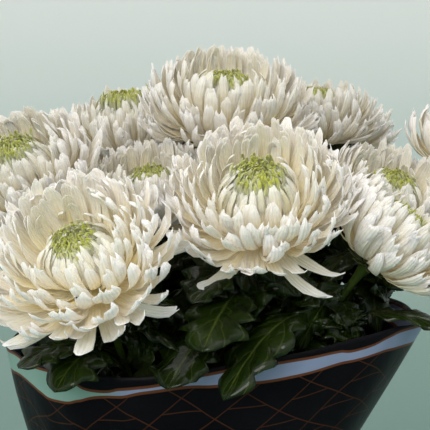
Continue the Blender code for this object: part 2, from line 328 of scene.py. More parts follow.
# %% [markdown]
# ## Reading the flowers out of the frame
#
# Each flower is three solids: a stem with the calyx on top, a bowl that stands for the outer florets and a ball
# that stands for the heart. The eight corners of the stem nearest the ball are the top of the calyx. The line
# from there to the ball's middle is the head's axis, and the bowl's widest corner gives the head's radius.

# %% Read the flowers
BOWL_SHARE = 0.92
STEM_SIDES = 8
flower_count = sum(name.endswith("_heart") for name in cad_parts)


def corners(node):
    """The corners of a CAD node, each of them once."""
    points = np.array([v.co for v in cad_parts[node].data.vertices])
    return np.unique(np.round(points, 6), axis=0)


def box_middle(node):
    low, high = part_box(node)
    return (low + high) / 2


def read_flower(number):
    """The head's foot, axis and radius, and the matrix of a head that stands on its foot with +Z up its axis."""
    heart = np.array(box_middle(f"flower_{number:02d}_heart"))
    stem = corners(f"flower_{number:02d}_stem")
    nearest = np.argsort(np.linalg.norm(stem - heart, axis=1))[:STEM_SIDES]
    foot = stem[nearest].mean(axis=0)
    axis = (heart - foot) / np.linalg.norm(heart - foot)
    bowl = corners(f"flower_{number:02d}_petals") - foot
    spread = np.linalg.norm(bowl - np.outer(bowl @ axis, axis), axis=1).max()
    turn = Vector(axis).to_track_quat("Z", "Y").to_matrix().to_4x4()
    return {
        "foot": foot,
        "axis": axis,
        "radius": spread / BOWL_SHARE,
        "matrix": np.array(Matrix.Translation(Vector(foot)) @ turn),
    }


flowers = {number: read_flower(number) for number in range(1, flower_count + 1)}
for number, flower in flowers.items():
    print(f"flower {number}: foot {np.round(flower['foot'], 3)}, radius {flower['radius'] * 1000:.0f} mm")

# %% [markdown]
# ## The petal finish
#
# A petal is white and a little translucent, cream towards its foot, and green near the heart. Where each of
# those tints lies depends on the floret, so the mesh carries them as attributes, and the shader mixes them. A
# third attribute is painted shade: it greys the heads further back, where the light falls off. The fine lengthwise
# grooves come from the UV map, whose first number runs across the floret. A very faint glow of the same colour
# stands for the light that passes through many thin florets, and that a few bounces of the renderer leave out.

# %% Petal material
PETAL_GLOW = 0.055
petal_look = Finish(
    "white_petal", Roughness=0.52, Specular_IOR_Level=0.35, Sheen_Weight=0.12, Sheen_Roughness=0.5,
    Subsurface_Weight=0.6, Subsurface_Scale=0.0012, Subsurface_Radius=(1.0, 0.9, 0.7), Emission_Strength=PETAL_GLOW,
)
petal_white = petal_look.mottled((0.91, 0.88, 0.87), (0.85, 0.815, 0.795), 90.0, 0.8)
petal_cream = petal_look.mix(petal_look.attribute("cream"), petal_white, (0.90, 0.73, 0.27))
petal_green = petal_look.mix(petal_look.attribute("green"), petal_cream, (0.47, 0.50, 0.06))
# Painted shade: a third attribute greys each head, the more the further back in the bunch it stands, where the
# light falls off.
petal_aged = petal_look.mix(petal_look.attribute("age"), petal_green, (0.55, 0.555, 0.55), "MULTIPLY")
petal_lines = petal_look.group(grooves, Across=petal_look.uv()[0], Count=4.0)
petal_shade = petal_look.ramp(petal_lines, (0.0, 0.93), (0.35, 1.0))
petal_final = petal_look.mix(1.0, petal_aged, petal_shade, "MULTIPLY")
petal_look.set(Base_Color=petal_final, Emission_Color=petal_final)
petal_crinkle = petal_look.math("MULTIPLY", petal_look.noise(170.0, 2.0), 3.0)
petal_look.bump(petal_look.math("ADD", petal_lines, petal_crinkle), 0.5, 0.0006)
print("petal finish:", len(petal_look.tree.nodes), "nodes")

# %% [markdown]
# ## A head of florets
#
# Each floret is a thin closed strap, made flat once as a grid with a thickness. A head is a few hundred copies of
# it. They are laid in one mesh and then bent, all at once, with numpy: a floret leaves the receptacle at one
# angle and ends at another, its edges are cupped up, and it twists a little. The rows of the grid stand closer
# together towards the tip, where a floret bends most and is seen best.

# %% The flat strap
STRAP_COLUMNS = 4
STRAP_ROWS = np.array((0, 0.28, 0.48, 0.64, 0.78, 0.90, 1.0))
WISP_COLUMNS = 2
WISP_ROWS = np.array((0, 0.40, 0.70, 0.90, 1.0))
GOLDEN_ANGLE = math.pi * (3 - math.sqrt(5))
BEND_STEPS = 64


def flat_strap(columns, rows):
    """A closed slab: x from -1 to 1 across, y from 0 to 1 along, and z 0 on its face and -1 on its back."""
    bm = bmesh.new()
    bmesh.ops.create_grid(bm, x_segments=columns, y_segments=len(rows) - 1, size=1, calc_uvs=False)
    uv = bm.loops.layers.uv.new("UVMap")
    for vert in bm.verts:
        vert.co.y = rows[round((vert.co.y + 1) / 2 * (len(rows) - 1))]
    bmesh.ops.solidify(bm, geom=bm.faces[:], thickness=1)
    low = min(v.co.z for v in bm.verts)
    for vert in bm.verts:
        vert.co.z = 0.0 if vert.co.z > low + 0.5 else -1.0
    bmesh.ops.recalc_face_normals(bm, faces=bm.faces)
    for face in bm.faces:
        for loop in face.loops:
            loop[uv].uv = ((loop.vert.co.x + 1) / 2, loop.vert.co.y)
    return finished_mesh("flat_strap", bm)


strap = flat_strap(STRAP_COLUMNS, STRAP_ROWS)
wisp = flat_strap(WISP_COLUMNS, WISP_ROWS)
print("strap:", len(strap.polygons), "faces; wisp:", len(wisp.polygons), "faces")


# %% Lay and bend the straps
BODY_FROM = 0.40
TIP_FROM = 0.84
TIP_WIDTH = 0.34
NOTCH_FROM = 0.95
HOOK_FROM = 0.76
WAVE_SHARE = 0.24


def joined(name, meshes):
    """One mesh that holds several, in order; their attributes come with them."""
    bm = bmesh.new()
    for mesh in meshes:
        bm.from_mesh(mesh)
    return finished_mesh(name, bm)


def width_shape(along, taper):
    """A floret's width along its length: narrow at the foot, widest past the middle, and round at the tip."""
    body = BODY_FROM + (1 - BODY_FROM) * np.clip(along / 0.60, 0, 1) ** 0.8
    body = body * (1 - taper * np.clip((along - 0.45) / 0.55, 0, 1))
    tip = np.sqrt(np.clip(1 - (np.clip(along - TIP_FROM, 0, 1) / 0.165) ** 2, 0, 1))
    return body * np.maximum(tip, TIP_WIDTH)


def bend_straps(plan, template, matrix):
    """Where each corner of each strap goes, and how far along its floret it is, from 0 to 1."""
    points = np.array([v.co for v in template.vertices])
    column = {key: values[:, None] for key, values in plan.items()}
    across, back = points[None, :, 0], -points[None, :, 2]
    turn = column["turn"]
    pull = matrix[2, 0] * np.cos(turn) + matrix[2, 1] * np.sin(turn)
    notch = column["notch"] * (1 - np.abs(across)) + column["skew"] * across
    along = np.clip(points[None, :, 1] - notch * (points[None, :, 1] > NOTCH_FROM), 0, 1)
    steps = np.linspace(0, 1, BEND_STEPS + 1)[None, :]
    # The middle line: its angle at each step gives how far out and how far up the floret has come.
    lean = column["start"] + (column["end"] - column["start"]) * steps ** column["bow"]
    lean = lean + column["hook"] * np.clip((steps - HOOK_FROM) / (1 - HOOK_FROM), 0, 1) ** 1.4
    lean = lean + column["sag"] * pull * (0.5 + steps)
    step = column["length"] / BEND_STEPS
    out = column["foot"] + np.cumsum(np.cos(lean), axis=1) * step
    up = column["lift"] + np.cumsum(np.sin(lean), axis=1) * step
    low = np.minimum((along * BEND_STEPS).astype(int), BEND_STEPS - 1)
    share = along * BEND_STEPS - low

    def at(line):
        return np.take_along_axis(line, low, 1) * (1 - share) + np.take_along_axis(line, low + 1, 1) * share

    out, up, lean = at(out), at(up), at(lean)
    # The cross-section: an arc that opens towards the inside of the head, with a thickness behind it.
    cup = np.maximum(column["cup"] * (0.40 + 0.60 * along), 0.05)
    half = column["width"] / 2 * width_shape(along, column["taper"])
    thick = column["thick"] * (1 - 0.5 * along) * back
    side = half / cup * np.sin(cup * across) + thick * np.sin(cup * across)
    rise = half / cup * (1 - np.cos(cup * across)) - thick * np.cos(cup * across)
    wave = np.sin(along * column["wave"] + turn * 7) * across * np.abs(across)
    rise = rise + wave * WAVE_SHARE * half
    twist = column["twist"] * along
    side, rise = side * np.cos(twist) - rise * np.sin(twist), side * np.sin(twist) + rise * np.cos(twist)
    side = side - column["sway"] * column["length"] * along**2
    radial = out - rise * np.sin(lean)
    height = up + rise * np.cos(lean)
    local = (radial * np.cos(turn) + side * np.sin(turn), radial * np.sin(turn) - side * np.cos(turn), height)
    places = np.stack((*local, np.ones(along.shape)), axis=-1) @ matrix.T
    return places[..., :3], along


# %% A mesh of florets
def add_attribute(mesh, name, values):
    """Stores a number for each corner of a mesh, for the shader to read."""
    layer = mesh.attributes.new(name, "FLOAT", "POINT")
    layer.data.foreach_set("value", np.ascontiguousarray(values, dtype=np.float32).ravel())


def floret_mesh(name, plan, template, matrix):
    """The florets of a plan as one mesh, with their cream, green and aged tints."""
    mesh = joined(name, [template] * len(plan["turn"]))
    places, along = bend_straps(plan, template, matrix)
    mesh.vertices.foreach_set("co", places.astype(np.float32).ravel())
    # Cream fades away from the foot. Green lies at both ends, and is strongest near the tip.
    foot_shade = np.clip(1 - along / 0.92, 0, 1) ** 0.8
    tint = {key: plan[key][:, None] for key in ("cream", "green", "foot_green", "age")}
    cream = (0.05 + 1.1 * foot_shade) * tint["cream"]
    green = tint["green"] * (0.30 + 0.70 * np.clip((along - 0.55) / 0.4, 0, 1))
    green = green + tint["foot_green"] * np.clip(1 - along / 0.5, 0, 1)
    # The head's painted shade is the same all along each floret.
    for tint_name, values in (("cream", cream), ("green", green), ("age", tint["age"] + 0 * along)):
        add_attribute(mesh, tint_name, np.clip(values, 0, 1))
    mesh.update()
    return mesh


# %% [markdown]
# The plan of a head says how the florets change from the rim, order 0, to the middle, order 1. The outer ones
# leave the receptacle almost level and turn up into a bowl. Further in they turn up harder, until those of the
# dome arch over with their tips towards the middle, where a tuft of small green ones stands. The lengths are for
# a head of 60 mm radius and are scaled to each head. Successive florets are turned by the golden angle, as on the
# plant. Each gets its own small errors, because no two are alike: the tips of the outer ones hook up by more or
# less, and a few at the rim have fallen open. Where a head leans, its lower florets sag open and its upper ones
# sag shut. Heads differ in size and fullness too, and the heads further back are greyed by a painted shade, so
# each may have its own habit. A few strays in the two front heads, which are seen best, are listed one by one.

# %% How the florets change
MODEL_RADIUS = 0.060
ORDER = (0.00, 0.11, 0.26, 0.40, 0.57, 0.60, 0.80, 1.00)
START = (-9, -1, 8, 18, 30, 20, 21, 24)
END = (60, 72, 84, 95, 106, 154, 150, 140)
LENGTH = (57, 59, 61, 59, 53, 47, 44, 39)
WIDTH = (8.4, 9.3, 9.5, 9.0, 8.0, 6.6, 6.0, 5.0)
CUP = (30, 36, 42, 46, 48, 44, 40, 40)
TAPER = (0.00, 0.00, 0.00, 0.05, 0.20, 0.40, 0.50, 0.55)
GREEN = (0.00, 0.00, 0.02, 0.06, 0.11, 0.16, 0.30, 0.62)
OUTER_FLORETS = 190
DOME_FLORETS = 125
WISPS = 280
WISP_SEED = 100
STRAPS = OUTER_FLORETS + DOME_FLORETS
OUTER_SHARE = OUTER_FLORETS / STRAPS
OPEN_SAG = 22
FALLEN_RIM = 0.14
FALLEN_START, FALLEN_END, FALLEN_HOOK, FALLEN_SWAY = -16, -24, 70, 0.30
PLAN_KEYS = (
    "turn", "start", "end", "length", "width", "cup", "taper", "hook", "bow", "twist", "sway", "wave", "notch",
    "skew", "sag", "thick", "foot", "lift", "cream", "green", "foot_green", "age",
)
# The last number of a habit is the head's painted shade: higher for heads further back, where the light falls off.
HABIT_KEYS = ("size", "dome", "rise", "sag", "fallen", "age")
PLAIN_HABIT = (1.06, 1.0, -4, 0.8, 0.10, 0.45)
HABITS = {
    1: (1.10, 0.84, 0, 0.7, 0.10, 0.0),
    2: (1.15, 0.96, 0, 0.6, 0.0, 0.15),
    3: (1.18, 1.0, 4, 0.2, 0.0, 0.34),
    5: (1.08, 1.2, -9, 1.0, 0.08, 0.58),
    6: (1.18, 0.90, -11, 1.0, 0.0, 0.46),
    8: (1.30, 0.92, 2, 0.4, 0.0, 0.45),
    9: (1.14, 1.0, -2, 0.8, 0.10, 0.40),
    10: (1.36, 0.90, 4, 0.2, 0.0, 0.55),
    11: (1.14, 1.0, -8, 1.0, 0.10, 0.68),
    13: (1.24, 1.0, -6, 1.0, 0.10, 0.55),
}
STRAYS = {
    1: {2: (-40, 5, 50, 0.40, 0.85), 7: (-5, 50, 30, 0.02, 0.9)},
    2: {
        1: (-22, 4, 60, -0.36, 0.80), 17: (-25, 6, 60, 0.42, 0.90), 4: (-16, 8, 60, 0.25, 0.88),
        9: (0, 62, 30, 0.05, 1.0),
    },
}
print(len(HABITS), "heads with a habit of their own, and", sum(map(len, STRAYS.values())), "strays")


# %% The plan of a head
def whole_plan(count, **rows):
    """A number for each of the straps under every key; a row that isn't given is zero."""
    return {key: np.zeros(count) + rows.get(key, 0) for key in PLAN_KEYS}


def head_plan(seed, radius, habit):
    """The straps of a head, from the rim to the edge of the green tuft."""
    rng = np.random.default_rng(seed)
    order = (np.arange(STRAPS) + 0.5) / STRAPS
    size = radius / MODEL_RADIUS * habit["size"]
    outer = np.clip(1 - order / OUTER_SHARE, 0, 1)
    own_size = size * np.where(np.arange(STRAPS) < OUTER_FLORETS, 1.0, habit["dome"])
    rise = np.radians(habit["rise"]) * outer

    def about(knots, error):
        return np.interp(order, ORDER, knots) + rng.normal(0, 1, STRAPS) * error

    plan = whole_plan(
        STRAPS,
        turn=np.arange(STRAPS) * GOLDEN_ANGLE + rng.normal(0, 0.06, STRAPS) + seed,
        start=np.radians(about(START, 5)) + rise,
        end=np.radians(about(END, 4) + rng.normal(0, 11, STRAPS) * np.sqrt(outer)) + rise,
        length=about(LENGTH, 2.6) * 0.001 * own_size,
        width=about(WIDTH, 0.6) * 0.001 * size,
        cup=np.radians(about(CUP, 9)),
        taper=np.clip(about(TAPER, 0.06), 0, 0.8),
        hook=np.radians(np.abs(rng.normal(22, 30, STRAPS))) * np.sqrt(outer),
        bow=rng.uniform(0.95, 1.35, STRAPS),
        twist=rng.normal(0, 0.25, STRAPS) * (0.25 + outer),
        sway=rng.normal(0, 0.07, STRAPS) * (0.4 + outer),
        wave=rng.uniform(5, 14, STRAPS),
        notch=rng.uniform(-0.05, 0.13, STRAPS) * (0.3 + outer),
        skew=rng.normal(0, 0.045, STRAPS),
        sag=np.radians(OPEN_SAG) * habit["sag"] * np.clip(outer * 4, 0.15, 1),
        thick=0.00055 * size,
        foot=(0.0040 + 0.0060 * np.sqrt(1 - order)) * size,
        lift=(0.0015 + 0.0045 * order) * size,
        cream=rng.uniform(0.5, 1.0, STRAPS) * np.interp(order, (0, 0.4, 0.8, 1), (0.7, 1.0, 0.7, 0.35)),
        green=np.interp(order, ORDER, GREEN) * rng.uniform(0.7, 1.2, STRAPS),
        foot_green=np.interp(order, (0.3, 0.7, 1.0), (0.0, 0.22, 0.5)),
        # The head's painted shade, from its habit.
        age=habit["age"],
    )
    fallen = (order < FALLEN_RIM) & (rng.random(STRAPS) < habit["fallen"])
    for key, change in (("start", FALLEN_START), ("end", FALLEN_END), ("hook", FALLEN_HOOK)):
        plan[key][fallen] += math.radians(change)
    plan["sway"][fallen] += FALLEN_SWAY * np.sign(plan["sway"][fallen])
    for place, (start, end, hook, sway, share) in STRAYS.get(seed, {}).items():
        plan["start"][place], plan["end"][place], plan["hook"][place] = np.radians((start, end, hook))
        plan["sway"][place] = sway
        plan["length"][place] *= share
    return plan


def wisp_plan(seed, radius, habit):
    """The small green florets that stand in the middle of the dome."""
    rng = np.random.default_rng(WISP_SEED + seed)
    order = (np.arange(WISPS) + 0.5) / WISPS
    size = radius / MODEL_RADIUS * habit["size"] * habit["dome"]
    return whole_plan(
        WISPS,
        turn=np.arange(WISPS) * GOLDEN_ANGLE + rng.normal(0, 0.1, WISPS),
        start=np.radians(np.interp(order, (0, 1), (72, 88)) + rng.normal(0, 4, WISPS)),
        end=np.radians(np.interp(order, (0, 0.6, 1), (135, 125, 100)) + rng.normal(0, 20, WISPS)),
        length=(np.interp(order, (0, 0.5, 1), (15, 14, 12)) + rng.normal(0, 1.2, WISPS)) * 0.001 * size,
        width=rng.uniform(2.2, 3.4, WISPS) * 0.001 * size,
        cup=np.radians(rng.normal(45, 8, WISPS)),
        taper=rng.uniform(0.3, 0.7, WISPS),
        hook=np.radians(rng.normal(30, 30, WISPS)),
        bow=rng.uniform(1.2, 2.0, WISPS),
        twist=rng.normal(0, 0.4, WISPS),
        sway=rng.normal(0, 0.10, WISPS),
        wave=rng.uniform(5, 14, WISPS),
        thick=0.0005 * size,
        foot=0.0155 * np.sqrt(1 - order) * size,
        lift=(0.0305 + 0.002 * order) * size,
        green=rng.uniform(0.65, 1.3, WISPS),
        foot_green=1.0,
        # The small green florets take their head's painted shade, each more or less by a random amount.
        age=habit["age"] + rng.uniform(-0.2, 0.5, WISPS),
    )


def part_of(plan, chosen):
    return {key: values[chosen] for key, values in plan.items()}


# %% Make the heads
def place_piece(name, mesh, look, slot, *nodes):
    """Puts a finished mesh in the scene, on the fixed body, in the place of its CAD nodes."""
    piece = bpy.data.objects.new(name, mesh)
    bpy.context.scene.collection.objects.link(piece)
    piece.data.materials.append(look.material)
    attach(piece, "root")
    if nodes:
        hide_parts(*nodes)
    return piece


for number, flower in flowers.items():
    habit = dict(zip(HABIT_KEYS, HABITS.get(number, PLAIN_HABIT)))
    plan = head_plan(number, flower["radius"], habit)
    tuft_plan = wisp_plan(number, flower["radius"], habit)
    outer_mesh = floret_mesh("outer", part_of(plan, slice(0, OUTER_FLORETS)), strap, flower["matrix"])
    dome_mesh = floret_mesh("dome", part_of(plan, slice(OUTER_FLORETS, STRAPS)), strap, flower["matrix"])
    tuft_mesh = floret_mesh("tuft", tuft_plan, wisp, flower["matrix"])
    heart_mesh = joined("heart", (dome_mesh, tuft_mesh))
    place_piece(f"outer_florets_{number:02d}", outer_mesh, petal_look, "petals", f"flower_{number:02d}_petals")
    place_piece(f"heart_florets_{number:02d}", heart_mesh, petal_look, "heart", f"flower_{number:02d}_heart")
print("heads:", flower_count, "with", STRAPS + WISPS, "florets each")

# %% [markdown]
# ## Stems
#
# A chrysanthemum's stem is a stout green rod with shallow ribs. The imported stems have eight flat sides, so each
# is copied, its loose triangles are merged and joined into four-sided faces, and Subdivision Surface rounds it.

# %% Stems
QUAD_ANGLE = math.radians(60)
ROUNDING_LEVELS = 2
stem_look = Finish("green_stem", Roughness=0.42, Specular_IOR_Level=0.2)
stem_look.set(Base_Color=stem_look.mottled((0.040, 0.064, 0.006), (0.021, 0.040, 0.004), 110.0, 0.9))
stem_look.bump(stem_look.noise(900.0, 2.0, (1.0, 1.0, 0.06)), 0.6, 0.0006)


def rounded_piece(name, node, look, slot):
    """A copy of a CAD node in its place, merged and joined into quads, with live subdivision."""
    bm = bmesh.new()
    bm.from_mesh(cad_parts[node].data)
    bmesh.ops.remove_doubles(bm, verts=bm.verts, dist=1e-6)
    bmesh.ops.join_triangles(
        bm, faces=bm.faces, angle_face_threshold=QUAD_ANGLE, angle_shape_threshold=math.radians(180)
    )
    piece = place_piece(name, finished_mesh(name, bm), look, slot, node)
    rounding = piece.modifiers.new("rounding", "SUBSURF")
    rounding.levels = rounding.render_levels = ROUNDING_LEVELS
    return piece


stems = [rounded_piece(f"stem_{number:02d}", f"flower_{number:02d}_stem", stem_look, "stem") for number in flowers]
print("stems:", len(stems), "with", sum(len(stem.data.polygons) for stem in stems), "faces before rounding")

# %% [markdown]
# ## Bracts
#
# Under each head sits a cup of small overlapping green scales, the bracts. They are the same strap as a floret,
# short and pointed, in three rows that clasp the foot of the head.

# %% Bracts
BRACTS = 36
BRACT_SEED = 200
bract_look = Finish("bract", Roughness=0.5)
bract_across = bract_look.uv()[0]
bract_green = bract_look.mottled((0.060, 0.110, 0.022), (0.110, 0.165, 0.040), 200.0)
bract_edge = bract_look.ramp(bract_across, (0.0, 1.0), (0.12, 0.0), (0.88, 0.0), (1.0, 1.0))
bract_look.set(Base_Color=bract_look.mix(bract_edge, bract_green, (0.22, 0.20, 0.10)))
bract_look.bump(bract_look.group(grooves, Across=bract_across, Count=3.0), 0.3, 0.0003)


def bract_plan(seed, radius):
    """The small scales that clasp the foot of a head."""
    rng = np.random.default_rng(BRACT_SEED + seed)
    order = (np.arange(BRACTS) + 0.5) / BRACTS
    size = radius / MODEL_RADIUS
    return whole_plan(
        BRACTS,
        turn=np.arange(BRACTS) * GOLDEN_ANGLE,
        start=np.radians(-14 + 22 * order + rng.normal(0, 3, BRACTS)),
        end=np.radians(8 + 26 * order + rng.normal(0, 6, BRACTS)),
        length=rng.uniform(0.013, 0.017, BRACTS) * size,
        width=rng.uniform(0.0046, 0.0058, BRACTS) * size,
        cup=np.radians(rng.normal(40, 5, BRACTS)),
        taper=rng.uniform(0.45, 0.6, BRACTS),
        hook=np.radians(rng.normal(0, 12, BRACTS)),
        bow=1, wave=6, thick=0.0005 * size,
        foot=(0.0055 - 0.001 * order) * size,
        lift=(-0.0045 + 0.0035 * order) * size,
    )


for number, flower in flowers.items():
    bracts = floret_mesh("bracts", bract_plan(number, flower["radius"]), strap, flower["matrix"])
    place_piece(f"bracts_{number:02d}", bracts, bract_look, "leaf")
print("bracts:", BRACTS, "under each head")

# %% [markdown]
# ## Leaves
#
# A chrysanthemum leaf has rounded lobes that point forward, a folded midrib and a glossy, quilted face with pale
# veins; its back is dull and paler. One flat grid is drawn to that outline, then laid along each leaf's own arch.
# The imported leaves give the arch: their middle line starts at a stem, and rises and falls to the tip.

# %% Leaf material
VEIN_RAKE = 0.42
VEIN_PAIRS = 7.0
VEIN_DEPTH = 0.5
leaf_look = Finish("glossy_leaf", Roughness=0.42, Coat_Weight=0.38, Coat_Roughness=0.11, Specular_IOR_Level=0.05)
leaf_across, leaf_along = leaf_look.uv()
leaf_side = leaf_look.math("ABSOLUTE", leaf_look.math("SUBTRACT", leaf_across, 0.5))
leaf_rake = leaf_look.math("SUBTRACT", leaf_along, leaf_look.math("MULTIPLY", leaf_side, VEIN_RAKE))
vein_wave = leaf_look.math("PINGPONG", leaf_look.math("MULTIPLY", leaf_rake, VEIN_PAIRS), 0.5)
side_veins = leaf_look.ramp(vein_wave, (0.0, 1.0), (0.07, 0.0))
midrib = leaf_look.ramp(leaf_side, (0.0, 1.0), (0.035, 0.0))
veins = leaf_look.math("MAXIMUM", midrib, leaf_look.math("MULTIPLY", side_veins, 0.55))
leaf_dark = leaf_look.mottled((0.004, 0.009, 0.0009), (0.013, 0.026, 0.0022), 45.0)
leaf_veined = leaf_look.mix(leaf_look.math("MULTIPLY", veins, 0.6), leaf_dark, (0.085, 0.115, 0.022))
leaf_look.set(Base_Color=leaf_look.mix(leaf_look.attribute("under"), leaf_veined, (0.040, 0.058, 0.017)))
leaf_pores = leaf_look.math("MULTIPLY", leaf_look.noise(420.0, 3.0), 0.5)
leaf_height = leaf_look.math("ADD", leaf_look.math("MULTIPLY", vein_wave, 2.0), leaf_pores)
leaf_relief = leaf_look.math("SUBTRACT", leaf_height, leaf_look.math("MULTIPLY", veins, VEIN_DEPTH))
leaf_look.bump(leaf_relief, 0.75, 0.0014)
print("leaf finish:", len(leaf_look.tree.nodes), "nodes")

# %% The leaf's outline
LEAF_COLUMNS = 8
LEAF_ROWS = 24
LEAF_THICKNESS = 0.00035
BLADE_AT = (0.00, 0.05, 0.16, 0.32, 0.48, 0.64, 0.80, 0.92, 1.00)
BLADE_SHARE = (0.06, 0.20, 0.62, 0.93, 1.00, 0.90, 0.66, 0.38, 0.02)
SINUSES = ((0.30, 0.42), (0.52, 0.46), (0.73, 0.36))
SINUS_WIDTH = 0.040
LOBE_RAKE = 0.11
FOLD, DROOP, RIPPLE = 0.18, 0.30, 0.13


print("leaf:", LEAF_COLUMNS, "by", LEAF_ROWS, "squares,", 2 * len(SINUSES), "sinuses")


def leaf_share(place):
    """The leaf's half width at each place along its blade, as a share of the widest."""
    share = np.interp(place, BLADE_AT, BLADE_SHARE)
    for middle, depth in SINUSES:
        share = share * (1 - depth * np.exp(-(((place - middle) / SINUS_WIDTH) ** 2)))
    return share * (1 + 0.05 * np.sin(place * 60))


def leaf_sheet():
    """The flat grid of a leaf, x from -1 to 1 and y from 0 to 1, with its UV map."""
    bm = bmesh.new()
    bmesh.ops.create_grid(bm, x_segments=LEAF_COLUMNS, y_segments=LEAF_ROWS, size=1, calc_uvs=False)
    uv = bm.loops.layers.uv.new("UVMap")
    for face in bm.faces:
        for loop in face.loops:
            loop[uv].uv = ((loop.vert.co.x + 1) / 2, (loop.vert.co.y + 1) / 2)
    return bm


# %% Lay a leaf along its arch
def leaf_mesh(name, leaf, seed):
    """A leaf laid along its arch: from its base, over its crown, to its tip."""
    rng = np.random.default_rng(seed)
    bm = leaf_sheet()
    flat = np.array([v.co for v in bm.verts])
    across, along = flat[:, 0], (flat[:, 1] + 1) / 2
    blade = np.clip((along - leaf["stalk"]) / (1 - leaf["stalk"]), 0, 1)
    share = np.where(along < leaf["stalk"], BLADE_SHARE[0], leaf_share(blade))
    along = along + LOBE_RAKE * (1 - leaf["stalk"]) * np.abs(across) ** 1.5 * np.sin(np.pi * blade)
    along = np.clip(along, 0, 1)[:, None]
    base, crown, tip = (np.array(leaf[key]) for key in ("base", "crown", "tip"))
    middle = base * (1 - along) ** 2 + 2 * crown * along * (1 - along) + tip * along**2
    tangent = 2 * (1 - along) * (crown - base) + 2 * along * (tip - crown)
    tangent = tangent / np.linalg.norm(tangent, axis=1)[:, None]
    heading = tip - base
    side = np.cross(heading, (0, 0, 1))
    side = side / np.linalg.norm(side)
    normal = np.cross(np.broadcast_to(side, tangent.shape), tangent)
    roll = leaf.get("roll", 0)
    lateral = side * math.cos(roll) + normal * math.sin(roll)
    upward = normal * math.cos(roll) - side * math.sin(roll)
    # Each half of the blade rises from the midrib, droops again at its edge, and ripples.
    half = share * leaf["width"] / 2
    edge = np.abs(across)
    fold = FOLD * edge - DROOP * edge**3
    ripple = np.sin(blade * rng.uniform(15, 20) + rng.uniform(0, 6) + 2.0 * (across > 0)) * edge**2 * RIPPLE
    lift = (fold + ripple) * leaf["width"] / 2 * np.sin(np.pi * blade) ** 0.5
    places = middle + lateral * (across * half)[:, None] + upward * lift[:, None]
    for vert, place in zip(bm.verts, places):
        vert.co = place
    bmesh.ops.recalc_face_normals(bm, faces=bm.faces)
    if sum(face.normal.z for face in bm.faces) < 0:
        bmesh.ops.reverse_faces(bm, faces=bm.faces)
    top = len(bm.verts)
    bmesh.ops.solidify(bm, geom=bm.faces[:], thickness=LEAF_THICKNESS)
    bm.verts.index_update()
    mesh = finished_mesh(name, bm)
    add_attribute(mesh, "under", np.arange(len(mesh.vertices)) >= top)
    return mesh


# %% Read the leaves
def stem_line(number):
    """The middle of a stem, from its foot up, as one point for each of its rings below the head."""
    points = corners(f"flower_{number:02d}_stem")
    points = points[np.argsort(points[:, 2])]
    rings = points[: len(points) // STEM_SIDES * STEM_SIDES].reshape(-1, STEM_SIDES, 3)
    return rings.mean(axis=1)[:-3]


MIDDLE_LINE = 0.02
STALK_EDGE = 0.08
stem_lines = {number: stem_line(number) for number in flowers}
all_stems = np.concatenate([corners(f"flower_{number:02d}_stem") for number in flowers])
print("stem lines:", len(stem_lines), "with", sum(map(len, stem_lines.values())), "points")


def read_leaf(node):
    """A packed leaf's base, crown and tip, its width, and how much of it is stalk."""
    points = corners(node)
    flat = points[:, :2]
    spans = np.linalg.norm(flat[:, None] - flat[None], axis=2)
    ends = points[list(np.unravel_index(spans.argmax(), spans.shape))]
    gaps = [np.linalg.norm(all_stems - end, axis=1).min() for end in ends]
    base, tip = ends if gaps[0] < gaps[1] else ends[::-1]
    heading = np.append(tip[:2] - base[:2], 0)
    length = np.linalg.norm(heading)
    heading = heading / length
    side = np.array((heading[1], -heading[0], 0))
    progress = (points - base) @ heading / length
    lateral = np.abs((points - base) @ side)
    width = 2 * lateral.max()
    on_line = lateral < MIDDLE_LINE * width
    on_stalk = (lateral < STALK_EDGE * width) & (lateral > MIDDLE_LINE * width) & (progress < 0.6)
    line = points[on_line]
    share = np.clip((line - base) @ heading / length, 0, 1)
    arch = line[:, 2] - base[2] * (1 - share) ** 2 - tip[2] * share**2
    weight = 2 * share * (1 - share)
    crown = (base + tip) / 2
    crown[2] = (arch * weight).sum() / (weight**2).sum()
    return {"base": base, "crown": crown, "tip": tip, "width": width, "stalk": progress[on_stalk].max()}


# %% Make the leaves
leaf_nodes = sorted(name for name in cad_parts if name.startswith("leaf_"))
for place, node in enumerate(leaf_nodes):
    place_piece(f"blade_{node[-2:]}", leaf_mesh(node, read_leaf(node), place), leaf_look, "leaf", node)
print("leaves:", len(leaf_nodes))

# %% [markdown]
# ## The film sleeve
#
# The sleeve is two sheets of thin black film, welded along both sides into a cone. It is made flat, as one grid
# with UVs, and wrapped: rays from outside towards the jar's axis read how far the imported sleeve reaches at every
# height and direction, and the fine film takes that reach, smoothed, with creases that grow towards the rim.

# %% Read the sleeve's reach
FILM_COLUMNS = 360
FILM_ROWS = 60
FILM_THICKNESS = 0.0002
SMOOTH_COLUMNS = 10
RIM_FROM = 0.93
FIRST_GUESS = 0.04
FOOT_INSET, RIM_INSET = 0.0005, 0.0008

jar_middle = box_middle("jar")


def surface_tree(mesh):
    """A search tree of a mesh's faces."""
    return BVHTree.FromPolygons([v.co for v in mesh.vertices], [tuple(p.vertices) for p in mesh.polygons])


film_tree = surface_tree(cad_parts["sleeve"].data)
sleeve_corners = corners("sleeve")
rim_corners = sleeve_corners[sleeve_corners[:, 2] > sleeve_low.z + RIM_FROM * (sleeve_high.z - sleeve_low.z)]
rim_slope = np.linalg.lstsq(np.c_[np.ones(len(rim_corners)), rim_corners[:, :2]], rim_corners[:, 2], rcond=None)[0]


def film_reach(angle, height):
    """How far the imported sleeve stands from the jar's axis, in one direction and at one height."""
    outward = Vector((math.cos(angle), math.sin(angle), 0))
    origin = Vector((jar_middle.x, jar_middle.y, height)) + outward
    hit = film_tree.ray_cast(origin, -outward)[0]
    return (Vector((hit.x, hit.y)) - jar_middle.xy).length


